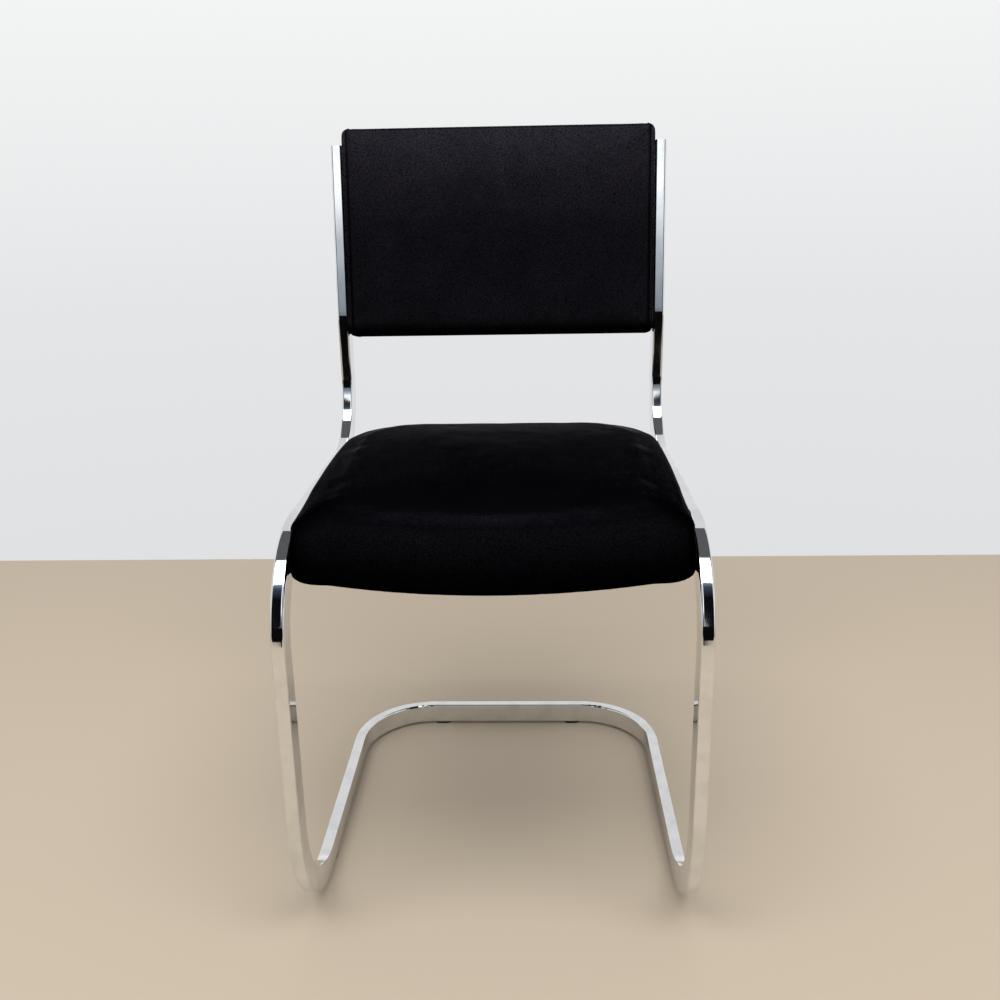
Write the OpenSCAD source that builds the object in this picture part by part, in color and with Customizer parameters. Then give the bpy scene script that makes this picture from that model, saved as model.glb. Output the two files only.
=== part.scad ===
// Sled base dining chair: one bent line of chromed rectangular tube carries an upholstered
// seat between its rails and an upholstered back between its uprights.
// The sitter faces -Y, +Z is up, and the chair is alike on both sides of X = 0.
// Left and right are as seen from the front, so left is -X.

/* [Frame tube] */
// Outer depth of the tube, in the plane in which the side of the chair is bent
tube_depth = 30; // [26:1:36]
// Outer width of the tube, across the chair
tube_width = 15; // [13:1:18]
// Wall of the tube
tube_wall = 1.5; // [1.2:0.1:2]
// Outer corner radius of the tube
tube_corner = 3; // [2:0.5:4]

/* [Frame shape] */
// Width over the outer faces of the frame
frame_width = 450; // [410:5:520]
// Length of the base, from the front of the legs to the back of the rear bar
base_length = 518; // [490:2:560]
// Height of the top of the seat rails above the floor
rail_top = 478; // [450:2:500]
// Distance of the uprights behind the front of the legs, at the middle of the tube
upright_reach = 490; // [480:2:510]
// Height of the slight bend in the uprights, at the middle of the tube
kink_height = 646; // [630:2:680]
// Lean of the uprights above that bend, in degrees
upper_lean = 6.8; // [5:0.1:10]
// Length of each upright above that bend
upright_length = 224; // [215:1:260]
// Radius of the bend from the leg to the seat rail, at the middle of the tube
front_bend = 106; // [80:1:115]
// Radius of the bend from the leg to the floor
floor_bend = 132; // [100:1:140]
// Radius of the bend from the seat rail to the upright
rear_bend = 96; // [75:1:105]
// Radius of the slight bend in the upright
kink_bend = 96; // [60:1:120]
// Radius of the bend from the runner to the rear bar, seen from above
plan_bend = 103; // [80:1:130]

/* [Frame fittings] */
// Length of the sleeve inside the rear bar
sleeve_length = 120; // [80:5:160]
// Wall of that sleeve and of the end caps
plug_wall = 1.5; // [1.2:0.1:2]
// Gap on each side between the tube and what is pushed into it
plug_gap = 0.2; // [0.1:0.05:0.3]
// Thickness of the end cap above the tube
cap_head = 2; // [1.5:0.5:4]
// Depth of the end cap inside the tube
cap_plug = 14; // [8:1:20]
// Thickness of the floor glide under the tube
glide_height = 2.5; // [2:0.5:4]
// Length of the floor glide along the tube
glide_length = 24; // [18:1:30]
// Radius of the glide's stem
glide_stem = 3; // [2:0.5:4]
// Length of the glide's stem
stem_length = 8; // [5:1:12]

/* [Seat] */
// Distance of the middle of the seat's front before the legs
seat_overhang = 22; // [10:1:30]
// Distance of the seat's back behind the front of the legs
seat_back_reach = 467; // [458:1:471]
// How far the front edge bows out in plan
seat_bow = 48; // [38:1:54]
// Plan radius of the seat's front corners
seat_front_corner = 58; // [48:1:66]
// Plan radius of the seat's back corners
seat_back_corner = 77; // [68:1:82]
// Height of the upholstered seat, from its underside to the start of its crown
seat_thickness = 67.5; // [66:0.5:74]
// How far the seat reaches below the rails
seat_drop = 15; // [12:1:18]
// Height of the crown in the middle of the seat
seat_crown = 9; // [4:0.5:12]
// How far the seat swells out over the rails
seat_swell = 2; // [1:0.5:4]
// How far the upper edge of the seat draws in towards the front, at its sides
seat_draw_in = 11; // [6:0.5:12]
// How far the top of the seat sinks at its back corners
seat_corner_sink = 5; // [2:0.5:6]
// Thickness of the foam before the front timber
seat_front_foam = 12; // [8:1:16]
// Height of the seat timbers
seat_timber_height = 40; // [36:1:42]
// Width of the side timbers of the seat
seat_timber_width = 26; // [24:1:32]
// Width of the front timber of the seat at its ends
seat_front_timber_width = 36; // [33:1:44]
// Width of the back timber of the seat
seat_back_timber_width = 62; // [60:1:68]
// Thickness of the plywood deck on the seat timbers
deck_thickness = 4; // [3:0.5:5]
// Distance of the front seat bolts behind the front of the legs
front_bolt_reach = 155; // [140:5:200]
// Distance of the rear seat bolts before the seat's back
rear_bolt_back = 107; // [100:1:150]

/* [Back] */
// Distance of the back's lower edge below the slight bend, along the upright
back_below = 28; // [15:1:35]
// Distance of the back's upper edge above the tube ends
back_above = 24; // [15:1:40]
// Radius of the back's corners, seen from the front
back_corner = 10; // [8:1:16]
// How far the edge of the back stands before the uprights
back_proud = 8; // [6:1:12]
// Height of the crown in the middle of the back
back_crown = 5; // [2:1:8]
// Thickness of the back timbers
back_timber_depth = 22; // [20:1:24]
// Width of the back timbers
back_timber_width = 36; // [30:1:45]
// Thickness of the plywood on the front of the back timbers
back_ply = 3; // [2:0.5:4]
// Thickness of the covered board that closes the back
rear_board = 2.5; // [2:0.5:3.5]
// Distance of the lower back bolts above the slight bend
low_bolt_reach = 35; // [30:1:60]
// Distance of the upper back bolts below the tube ends
high_bolt_drop = 39; // [34:1:60]

/* [Upholstery] */
// Thickness of the velvet and its backing
cover = 1.5; // [1:0.1:2]
// Width of the hem that is turned under and stapled
hem = 32; // [25:1:40]
// Thickness of the dust cloth under the seat
dust_cloth = 0.8; // [0.5:0.1:1]
// Gap between the soft pieces and the frame
soft_gap = 0.3; // [0.2:0.1:0.5]
// Distance of the staples inside the edges of the timbers
staple_inset = 10; // [9:0.5:12]
// Distance between the staples, and twice that between those at the sides of the back
staple_step = 60; // [54:1:64]
// Width of a staple's crown
staple_width = 10; // [8:1:12]
// Thickness of the staple wire
staple_wire = 0.7; // [0.5:0.1:0.9]
// Length of a staple's legs
staple_leg = 9; // [7:1:12]

/* [Fasteners] */
// Radius of the bolts
bolt_radius = 3; // [2.5:0.5:4]
// Length of the bolts
bolt_length = 36; // [32:1:40]
// Radius of the countersunk bolt head
bolt_head_radius = 5.8; // [5:0.1:6.4]
// Height of the countersunk bolt head
bolt_head_height = 3; // [2.5:0.1:3.5]
// Outer radius of the threaded insert
insert_radius = 5; // [4.6:0.2:6]
// Length of the threaded insert
insert_length = 15; // [12:1:18]
// Radius of the dowels
dowel_radius = 4; // [3:0.5:5]
// Length of the dowels
dowel_length = 40; // [30:2:50]
// Clearance on the radius of a bolt in the tube
bolt_clearance = 0.25; // [0.15:0.05:0.4]
// Clearance on the radius of a dowel, insert, bolt thread or glide stem in its hole
push_clearance = 0.05; // [0.02:0.01:0.1]

/* [Hidden] */
$fn = 48;

chrome = "#d9dcde";
velvet = "#17171a";
timber = "#c8a878";
foam = "#e8dcae";
zinc = "#b9bcc0";
black_plastic = "#222222";

// Frame: one side is a line of straight runs, given by a length, and of bends, given by a
// turn and a radius. It starts at the back of the runner and ends in the slight bend, and the
// straight upper upright goes on from there.
half_depth = tube_depth / 2;
half_width = tube_width / 2;
side_x = frame_width / 2 - half_width;
inner_x = frame_width / 2 - tube_width;
rail_z = rail_top - half_depth;
runner_z = glide_height + half_depth;
runner_back = base_length - half_width - plan_bend;
kink_tangent = kink_bend * tan(upper_lean / 2);
side_line = [
    [runner_back - half_depth - floor_bend],
    [-90, floor_bend],
    [rail_z - runner_z - floor_bend - front_bend],
    [-90, front_bend],
    [upright_reach - half_depth - front_bend - rear_bend],
    [90, rear_bend],
    [kink_height - rail_z - rear_bend - kink_tangent],
    [-upper_lean, kink_bend],
];
// The upper upright starts inside the slight bend, where the drawn tube is a hair slimmer
upright_lap = 1;
upright_slim = 0.02;
bar_y = base_length - half_width;
bar_half = side_x - plan_bend;

// Glides: the front pair stands behind the floor bend, the rear pair under the bar's ends
front_glide = [side_x, half_depth + floor_bend + glide_length];
rear_glide = [bar_half - glide_length / 2, bar_y];

// Seat: heights from its underside upwards
seat_bottom = rail_top - tube_depth - seat_drop;
seat_hem_z = seat_bottom + dust_cloth;
seat_timber_z = seat_hem_z + cover;
deck_z = seat_timber_z + seat_timber_height;
deck_top = deck_z + deck_thickness;
seat_top = seat_bottom + seat_thickness;
seat_half = inner_x - soft_gap;
seat_front = -seat_overhang;
seat_back = seat_back_reach;
seat_core_half = seat_half - cover;
seat_core_back = cover + 4;
front_timber_back = seat_front + seat_front_foam + seat_bow + seat_front_timber_width;
back_timber_front = seat_back - seat_core_back - seat_back_timber_width;
seat_dowel_x = seat_core_half - 0.65 * seat_timber_width;
seat_bolt_places = [[front_bolt_reach, rail_z], [seat_back - rear_bolt_back, rail_z]];

// Back: measured in the plane of the upper uprights, from the slight bend
back_low = -back_below;
back_high = upright_length + back_above;
back_mid = (back_low + back_high) / 2;
back_half = inner_x - soft_gap;
back_half_height = (back_high - back_low) / 2;
back_front = -half_depth - back_proud;
back_rear = half_depth;
back_hem_y = back_rear - rear_board;
rear_board_inset = 6;
back_timber_rear = back_hem_y - cover;
back_timber_front_y = back_timber_rear - back_timber_depth;
back_core_side = cover;
back_core_end = cover + 4;
back_core_high = back_half_height - back_core_end;
back_core_half = back_half - back_core_side;
stile_rest = back_core_high - back_timber_width;
back_bolt_places = [low_bolt_reach - back_mid, upright_length - high_bolt_drop - back_mid];

// The chair's depth runs from the seat's front to the upper rear edge of the back
back_rearmost = upright_reach + (back_high - rear_board_inset) * sin(upper_lean)
    + back_rear * cos(upper_lean);
middle_y = (seat_front + back_rearmost) / 2;

// Section of the tube: a rectangle with rounded corners, grown or shrunk by `inset`
module rounded_section(inset = 0) {
    depth = tube_depth - 2 * inset;
    width = tube_width - 2 * inset;
    corner = max(tube_corner - inset, 0.8);
    square([depth - 2 * corner, width], center = true);
    square([depth, width - 2 * corner], center = true);
    for (x = [-1, 1], y = [-1, 1])
        translate([x * (depth / 2 - corner), y * (width / 2 - corner)]) circle(corner);
}

module tube_ring(slim = 0) {
    difference() {
        rounded_section(slim);
        rounded_section(tube_wall - slim);
    }
}

module plug_ring() {
    difference() {
        rounded_section(tube_wall + plug_gap);
        rounded_section(tube_wall + plug_gap + plug_wall);
    }
}

// Places a drawing made in the side plane at the distance x from the middle of the chair
module side_plane(x) {
    translate([x, 0, 0]) rotate([90, 0, 90]) children();
}

// Draws a line of straight runs and bends, each from the end of the one before
module bent_run(line, i = 0) {
    if (i < len(line) && len(line[i]) == 1) {
        rotate([90, 0, 90]) linear_extrude(line[i][0]) children();
        translate([line[i][0], 0, 0]) bent_run(line, i + 1) children();
    } else if (i < len(line)) {
        turn = line[i][0];
        radius = line[i][1];
        centre = sign(turn) * radius;
        translate([0, centre, 0]) {
            rotate(-90 * sign(turn))
                rotate_extrude(angle = turn) translate([radius, 0]) children();
            rotate(turn) translate([0, -centre, 0]) bent_run(line, i + 1) children();
        }
    }
}

// Carries what is drawn upright at the slight bend back by the lean of the upper uprights
module back_plane() {
    translate([0, upright_reach, kink_height]) rotate([-upper_lean, 0, 0])
        translate([0, 0, back_mid]) children();
}

module whole_chair() {
    translate([0, -middle_y, 0]) children();
}

// Countersunk hole through the outer wall and plain hole through the inner wall, along X
module bolt_hole() {
    rotate([0, 90, 0]) {
        cylinder(r = bolt_radius + bolt_clearance, h = 3 * tube_width, center = true);
        translate([0, 0, half_width - bolt_head_height])
            cylinder(
                r1 = bolt_radius + bolt_clearance,
                r2 = bolt_head_radius + bolt_clearance,
                h = bolt_head_height + 0.001
            );
    }
}

module glide_stem_hole(place) {
    translate([place.x, place.y, glide_height - 1])
        cylinder(r = glide_stem + push_clearance, h = tube_wall + 2);
}

// Half of the frame, drawn on the side of +X
module frame_half() {
    color(chrome) difference() {
        union() {
            side_plane(side_x) translate([runner_back, runner_z]) rotate(180)
                bent_run(side_line) tube_ring();
            back_plane() translate([side_x, 0, kink_tangent - upright_lap - back_mid]) rotate(90)
                linear_extrude(upright_length - kink_tangent + upright_lap) tube_ring(upright_slim);
            translate([bar_half, runner_back, runner_z])
                rotate_extrude(angle = 90) translate([plan_bend, 0]) rotate(90) tube_ring();
            translate([0, bar_y, runner_z]) rotate([0, 90, 0])
                linear_extrude(bar_half) tube_ring();
        }
        for (p = seat_bolt_places) translate([side_x, p.x, p.y]) bolt_hole();
        back_plane() for (z = back_bolt_places) translate([side_x, 0, z]) bolt_hole();
        glide_stem_hole(front_glide);
        glide_stem_hole(rear_glide);
    }
}

module rear_bar_sleeve() {
    color(zinc) translate([-sleeve_length / 2, bar_y, runner_z]) rotate([0, 90, 0])
        linear_extrude(sleeve_length) plug_ring();
}

// Cap on the end of the upright: a flat head and a hollow plug
module end_cap() {
    color(chrome) back_plane() translate([side_x, 0, upright_length - back_mid]) rotate(90) {
        linear_extrude(cap_head) rounded_section();
        translate([0, 0, -cap_plug]) linear_extrude(cap_plug) plug_ring();
    }
}

// Glide: a flat foot with a stem that is pushed into the tube; `along` turns it to the tube
module glide(place, along) {
    foot = tube_width - 2;
    color(black_plastic) translate([place.x, place.y, 0]) rotate([0, 0, along]) {
        linear_extrude(glide_height) {
            square([foot, glide_length - foot], center = true);
            for (y = [-1, 1]) translate([0, y * (glide_length - foot) / 2]) circle(foot / 2);
        }
        translate([0, 0, glide_height]) cylinder(r = glide_stem, h = stem_length);
    }
}

// Right half of the seat's plan, from the middle of its front to the middle of its back
function seat_plan_half(side, front, back) =
    let (
        x_side = seat_half - side,
        y_front = seat_front + front,
        y_back = seat_back - back,
        corner_front = seat_front_corner - side,
        corner_back = seat_back_corner - back,
        x_bow = x_side - 0.75 * corner_front,
        slope = atan(2 * seat_bow * x_bow / pow(seat_half, 2)),
        radius = 0.75 * corner_front / (1 - sin(slope)),
        y_bow = y_front + seat_bow * pow(x_bow / seat_half, 2),
        y_corner = y_bow + radius * cos(slope)
    ) concat(
        [for (k = [0:4]) let (x = k / 5 * x_bow) [x, y_front + seat_bow * pow(x / seat_half, 2)]],
        [for (k = [0:4]) let (a = -90 + slope + k / 4 * (90 - slope))
            [x_side - radius + radius * cos(a), y_corner + radius * sin(a)]],
        [for (k = [1:3]) [x_side, y_corner + k / 4 * (y_back - corner_back - y_corner)]],
        [for (k = [0:4]) let (a = k / 4 * 90)
            [x_side - corner_back + corner_back * cos(a), y_back - corner_back + corner_back * sin(a)]],
        [[(x_side - corner_back) / 2, y_back]],
        [[0, y_back]]
    );

// The other half mirrors it, without the two points on the middle line
function both_halves(half) =
    concat(half, [for (i = [len(half) - 2:-1:1]) [-half[i].x, half[i].y]]);

function seat_plan(side = 0, front = 0, back = 0) = both_halves(seat_plan_half(side, front, back));

// Outward direction of a closed outline at its point i
function outward(p, i) =
    let (n = len(p), d = p[(i + 1) % n] - p[(i + n - 1) % n]) [d.y, -d.x] / norm(d);

// Skin of triangles over rings of points from the lowest to the highest, closed at both ends
module ring_skin(rings, first, last) {
    count = len(rings[0]);
    top = len(rings) - 1;
    points = concat([first], [for (ring = rings) each ring], [last]);
    polyhedron(points, concat(
        [for (i = [0:count - 1]) [0, 1 + i, 1 + (i + 1) % count]],
        [for (k = [0:top - 1], i = [0:count - 1]) let (a = 1 + k * count, j = (i + 1) % count) each
            [[a + i, a + count + i, a + count + j], [a + i, a + count + j, a + j]]],
        [for (i = [0:count - 1]) let (a = 1 + top * count) [a + i, len(points) - 1, a + (i + 1) % count]]
    ));
}

// Upright sections of the seat cushion at its sides and at its front. Each step holds the
// share of the plan, how far it stands out, its height and the way that its surface faces.
// The cover's lower edge folds round the sharp edge of the side timbers.
cover_fold = cover * (1 - cos(45));
swell_z = rail_top + 4;
side_steps = [
    [1, -2 * cover, seat_hem_z, -90], [1, -cover_fold, seat_hem_z + cover_fold, -45],
    [1, 0, seat_hem_z + 2 * cover, 0],
    [1, 0, rail_top - 1, 0], [1, 0, swell_z, 0], [1, 0, swell_z + 5, 5],
    [1, -3.6, seat_top - 8, 35], [1, -13, seat_top - 3, 62], [1, -19, seat_top - 0.5, 75],
    [0.84, 0, seat_top + 0.3 * seat_crown, 85], [0.6, 0, seat_top + 0.7 * seat_crown, 90],
    [0.3, 0, seat_top + 0.93 * seat_crown, 90],
];
front_steps = [
    [1, -10, seat_hem_z, -90], [1, -4, seat_hem_z + 2.5, -60], [1, -1, seat_hem_z + 8, -20],
    [1, -0.7, seat_hem_z + 22, 0], [1, -3, swell_z - 8, 8], [1, -5, swell_z + 2, 20],
    [1, -9, seat_top - 11, 40], [1, -15.5, seat_top - 5, 55], [1, -27, seat_top - 1, 72],
    [0.84, 0, seat_top + 0.3 * seat_crown, 85], [0.6, 0, seat_top + 0.7 * seat_crown, 90],
    [0.3, 0, seat_top + 0.93 * seat_crown, 90],
];
seat_centre = [0, (seat_front + seat_back) / 2];

// The seat swells over the rails at the back, before the uprights' bend. Towards the front its
// upper edge draws in instead, and its back corners sink.
swell_end = upright_reach - rear_bend;
draw_in_end = seat_front + 0.39 * (seat_back - seat_front);
function share(value) = min(1, max(0, value));
function swell_at(p, n) =
    seat_swell * pow(n.x, 2) * share((swell_end - p.y) / 60) * share((p.y - draw_in_end) / 90);
function draw_in_at(p, n, z) =
    seat_draw_in * pow(n.x, 2) * share((draw_in_end - p.y) / 150) * share((z - swell_z) / 8);
function sink_at(n, z, part) = n.y > 0
    ? seat_corner_sink * pow(2 * n.x * n.y, 2) * pow(part, 3) * share((z - rail_top) / 22) : 0;

function seat_ring(k, inset) =
    let (plan = seat_plan()) [
        for (i = [0:len(plan) - 1])
        let (
            n = outward(plan, i),
            step = side_steps[k] + pow(max(0, -n.y), 2) * (front_steps[k] - side_steps[k]),
            swell = k >= 5 && k <= 8 ? swell_at(plan[i], n) : k == 4 ? swell_at(plan[i], n) / 2 : 0,
            draw_in = k <= 8 ? draw_in_at(plan[i], n, step[2]) : 0,
            out = step[1] + swell - draw_in - inset * cos(step[3]),
            flat = seat_centre + step[0] * (plan[i] - seat_centre) + out * n
        ) [flat.x, flat.y, step[2] - sink_at(n, step[2], step[0]) - inset * sin(step[3])]
    ];

module seat_form(inset) {
    ring_skin(
        [for (k = [0:len(side_steps) - 1]) seat_ring(k, inset)],
        [seat_centre.x, seat_centre.y, seat_hem_z + inset],
        [seat_centre.x, seat_centre.y, seat_top + seat_crown - inset]
    );
}

// Room for the timbers and the deck: their plan in front, and past the cushion at its sides
module seat_core() {
    plan = seat_plan_half(cover, seat_front_foam, seat_core_back);
    front = [for (i = [0:8]) plan[i]];
    side = 2 * plan[9] - plan[8];
    back = seat_back - seat_core_back;
    half = concat(front, [side, [seat_half + 5, side.y], [seat_half + 5, back], [0, back]]);
    translate([0, 0, seat_bottom - 1]) linear_extrude(deck_top - seat_bottom + 1)
        polygon(both_halves(half));
}

module seat_bolt_axis() {
    for (s = [-1, 1], p = seat_bolt_places)
        translate([s * inner_x, p.x, p.y]) rotate([0, s * 90, 0]) children();
}

module seat_insert_holes() {
    seat_bolt_axis() translate([0, 0, -soft_gap - cover - insert_length - 1])
        cylinder(r = insert_radius + push_clearance, h = insert_length + 2);
    seat_bolt_axis() translate([0, 0, -bolt_length])
        cylinder(r = bolt_radius + bolt_clearance, h = bolt_length);
}

// Dowels stand in pairs across each joint between a side timber and the front or back timber
module seat_dowel_set(extra) {
    for (s = [-1, 1], y = [front_timber_back, back_timber_front], z = [0.27, 0.73])
        translate([s * seat_dowel_x, y, seat_timber_z + z * seat_timber_height]) rotate([90, 0, 0])
            cylinder(r = dowel_radius + extra, h = dowel_length + 2 * extra, center = true);
}

// Staples under the seat: a place and the turn of the crown for each
seat_staple_front = seat_front + seat_front_foam + staple_inset;
seat_staple_middle = (front_timber_back + back_timber_front) / 2;
seat_staple_places = concat(
    [for (k = [-2:2]) let (x = k * staple_step)
        [x, seat_staple_front + seat_bow * pow(x / seat_half, 2), 0]],
    [for (k = [-2:2]) [k * staple_step, seat_back - seat_core_back - staple_inset, 0]],
    [for (s = [-1, 1], k = [-2:2])
        [s * (seat_core_half - staple_inset), seat_staple_middle + k * staple_step, 90]]
);

module staple(extra) {
    leg = staple_wire + 2 * extra;
    translate([0, 0, -staple_wire / 2]) cube([staple_width + 2 * extra, leg, leg], center = true);
    for (s = [-1, 1]) translate([s * (staple_width - staple_wire) / 2, 0, staple_leg / 2])
        cube([leg, leg, staple_leg + 2 * extra], center = true);
}

module seat_staple_set(extra = 0) {
    for (p = seat_staple_places) translate([p.x, p.y, seat_bottom]) rotate([0, 0, p.z]) staple(extra);
}

module seat_timber_block() {
    translate([0, 0, seat_timber_z]) linear_extrude(seat_timber_height)
        polygon(seat_plan(cover, seat_front_foam, seat_core_back));
}

// One of the four timbers: what lies between these limits in plan
module seat_timber(x_low, x_high, y_low, y_high) {
    color(timber) difference() {
        intersection() {
            seat_timber_block();
            translate([x_low, y_low, seat_bottom])
                cube([x_high - x_low, y_high - y_low, seat_thickness]);
        }
        seat_dowel_set(push_clearance);
        seat_staple_set(push_clearance);
        seat_insert_holes();
    }
}

module seat_timber_front() {
    seat_timber(-seat_half, seat_half, seat_front, front_timber_back);
}

module seat_timber_back() {
    seat_timber(-seat_half, seat_half, back_timber_front, seat_back);
}

module seat_timber_right() {
    seat_timber(seat_core_half - seat_timber_width, seat_half, front_timber_back, back_timber_front);
}

module seat_dowels() {
    color(timber) seat_dowel_set(0);
}

module seat_deck() {
    color(timber) translate([0, 0, deck_z]) linear_extrude(deck_thickness)
        polygon(seat_plan(cover, seat_front_foam, seat_core_back));
}

module seat_foam() {
    color(foam) difference() {
        seat_form(cover);
        seat_core();
    }
}

// The cover is open underneath, inside its stapled hem, and the bolts pass through its sides
module seat_cover() {
    color(velvet) difference() {
        seat_form(0);
        seat_form(cover);
        translate([0, 0, seat_bottom - 1]) linear_extrude(cover + dust_cloth + 1.5)
            polygon(seat_plan(hem, hem + 8, hem));
        seat_bolt_axis() translate([0, 0, -10]) cylinder(r = bolt_radius + bolt_clearance, h = 12);
        seat_staple_set(push_clearance);
    }
}

module seat_dust_cloth() {
    color(black_plastic) difference() {
        translate([0, 0, seat_bottom]) linear_extrude(dust_cloth) polygon(seat_plan(9, 14, 9));
        seat_staple_set(push_clearance);
    }
}

module seat_staples() {
    color(zinc) seat_staple_set();
}

// Threaded insert and countersunk bolt, drawn along +Z with the frame's inner face at 0
module insert() {
    translate([0, 0, -soft_gap - cover - insert_length]) difference() {
        cylinder(r = insert_radius, h = insert_length);
        translate([0, 0, -1]) cylinder(r = bolt_radius + push_clearance, h = insert_length + 2);
    }
}

module bolt() {
    difference() {
        translate([0, 0, tube_width - bolt_length]) union() {
            cylinder(r = bolt_radius, h = bolt_length - bolt_head_height);
            translate([0, 0, bolt_length - bolt_head_height])
                cylinder(r1 = bolt_radius, r2 = bolt_head_radius, h = bolt_head_height);
        }
        translate([0, 0, tube_width - bolt_head_height * 0.7])
            cylinder(r = bolt_radius * 0.75, h = bolt_head_height, $fn = 6);
    }
}

module seat_inserts() {
    color(zinc) seat_bolt_axis() insert();
}

module seat_bolts() {
    color(chrome) seat_bolt_axis() bolt();
}

// Front outline of the back, as [across, up] from its middle, with rounded corners
function back_outline(side = 0, end = 0) =
    let (
        x = back_half - side,
        z = back_half_height - end,
        r = max(back_corner - end, 4),
        quarter = concat(
            [[0, -z], [x / 3, -z], [2 * x / 3, -z]],
            [for (k = [0:3]) let (a = -90 + 30 * k) [x - r + r * cos(a), -z + r + r * sin(a)]],
            [[x, -z / 2], [x, 0]]
        ),
        half = concat(quarter, [for (i = [len(quarter) - 2:-1:0]) [quarter[i].x, -quarter[i].y]])
    ) both_halves(half);

// Sections of the back cushion from its rear to its front: share of the outline, how far it
// stands out, its depth and the way that its surface faces
back_steps = [
    [1, -2 * cover, back_hem_y, -90], [1, -cover_fold, back_hem_y - cover_fold, -45],
    [1, 0, back_hem_y - 2 * cover, 0],
    [1, 0, -half_depth + 0.5, 0], [1, -0.5, -half_depth - 2, 8], [1, -2, back_front + 2.5, 32],
    [1, -5, back_front, 62], [1, -12, back_front - 0.25 * back_crown, 75],
    [0.82, 0, back_front - 0.5 * back_crown, 85], [0.55, 0, back_front - 0.85 * back_crown, 90],
    [0.28, 0, back_front - 0.97 * back_crown, 90],
];

function back_ring(k, inset) =
    let (plan = back_outline(), step = back_steps[k]) [
        for (i = [0:len(plan) - 1])
        let (flat = step[0] * plan[i] + (step[1] - inset * cos(step[3])) * outward(plan, i))
        [flat.x, flat.y, -step[2] - inset * sin(step[3])]
    ];

module back_form(inset) {
    rotate([90, 0, 0]) ring_skin(
        [for (k = [0:len(back_steps) - 1]) back_ring(k, inset)],
        [0, 0, -back_hem_y + inset],
        [0, 0, -back_front + back_crown - inset]
    );
}

// A flat board of the back between two depths
module back_board(depth_from, depth_to, side, end) {
    translate([0, depth_to, 0]) rotate([90, 0, 0]) linear_extrude(depth_to - depth_from)
        polygon(back_outline(side, end));
}

module back_box(x_low, x_high, z_low, z_high, y_low, y_high) {
    translate([x_low, y_low, z_low]) cube([x_high - x_low, y_high - y_low, z_high - z_low]);
}

module back_bolt_axis() {
    for (s = [-1, 1], z = back_bolt_places)
        translate([s * inner_x, 0, z]) rotate([0, s * 90, 0]) children();
}

module back_insert_holes() {
    back_bolt_axis() translate([0, 0, -soft_gap - cover - insert_length - 1])
        cylinder(r = insert_radius + push_clearance, h = insert_length + 2);
    back_bolt_axis() translate([0, 0, -bolt_length])
        cylinder(r = bolt_radius + bolt_clearance, h = bolt_length);
}

back_stile_in = back_core_half - back_timber_width;
back_timber_mid_y = (back_timber_front_y + back_timber_rear) / 2;

module back_dowel_set(extra) {
    for (s = [-1, 1], t = [-1, 1], z = [0.28, 0.72])
        translate([s * back_stile_in, back_timber_mid_y, t * (back_core_high - z * back_timber_width)])
            rotate([0, 90, 0])
                cylinder(r = dowel_radius + extra, h = dowel_length + 2 * extra, center = true);
}

back_staple_places = concat(
    [for (t = [-1, 1], k = [-2:2]) [k * staple_step, t * (back_core_high - staple_inset), 0]],
    [for (s = [-1, 1], k = [-2:2]) [s * (back_core_half - staple_inset), k * staple_step / 2, 90]]
);

// Staples behind the back hold its hem to the timbers
module back_staple_set(extra = 0) {
    for (p = back_staple_places) translate([p.x, back_hem_y, p.y])
        rotate([90, 0, 0]) rotate([0, 0, p.z]) staple(extra);
}

module back_timber_stile(s) {
    color(timber) difference() {
        intersection() {
            back_board(back_timber_front_y, back_timber_rear, back_core_side, back_core_end);
            back_box(
                s > 0 ? back_stile_in : -back_half, s > 0 ? back_half : -back_stile_in,
                -back_half_height, back_half_height, back_timber_front_y - 1, back_timber_rear + 1
            );
        }
        back_dowel_set(push_clearance);
        back_staple_set(push_clearance);
        back_insert_holes();
    }
}

module back_timber_rail(t) {
    color(timber) difference() {
        back_box(
            -back_stile_in, back_stile_in, t > 0 ? stile_rest : -back_core_high,
            t > 0 ? back_core_high : -stile_rest, back_timber_front_y, back_timber_rear
        );
        back_dowel_set(push_clearance);
        back_staple_set(push_clearance);
    }
}

module back_timber_left() {
    back_timber_stile(-1);
}

module back_timber_right() {
    back_timber_stile(1);
}

module back_timber_top() {
    back_timber_rail(1);
}

module back_timber_bottom() {
    back_timber_rail(-1);
}

module back_dowels() {
    color(timber) back_dowel_set(0);
}

module back_ply_panel() {
    color(timber)
        back_board(back_timber_front_y - back_ply, back_timber_front_y, back_core_side, back_core_end);
}

module back_foam() {
    color(foam) difference() {
        back_form(cover);
        back_box(
            -back_half - 5, back_half + 5, -back_core_high, back_core_high,
            back_timber_front_y - back_ply, back_rear + 1
        );
    }
}

module back_cover() {
    color(velvet) difference() {
        back_form(0);
        back_form(cover);
        back_board(back_timber_rear - 0.5, back_rear, hem, hem);
        back_bolt_axis() translate([0, 0, -10]) cylinder(r = bolt_radius + bolt_clearance, h = 12);
        back_staple_set(push_clearance);
    }
}

// The rear board has a pocket behind each staple's crown, so that it lies flat on the hem
module back_rear_board() {
    color(velvet) difference() {
        back_board(back_hem_y, back_rear, rear_board_inset, rear_board_inset);
        back_staple_set(push_clearance);
    }
}

module back_staples() {
    color(zinc) back_staple_set();
}

module back_inserts() {
    color(zinc) back_bolt_axis() insert();
}

module back_bolts() {
    color(chrome) back_bolt_axis() bolt();
}

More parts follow.
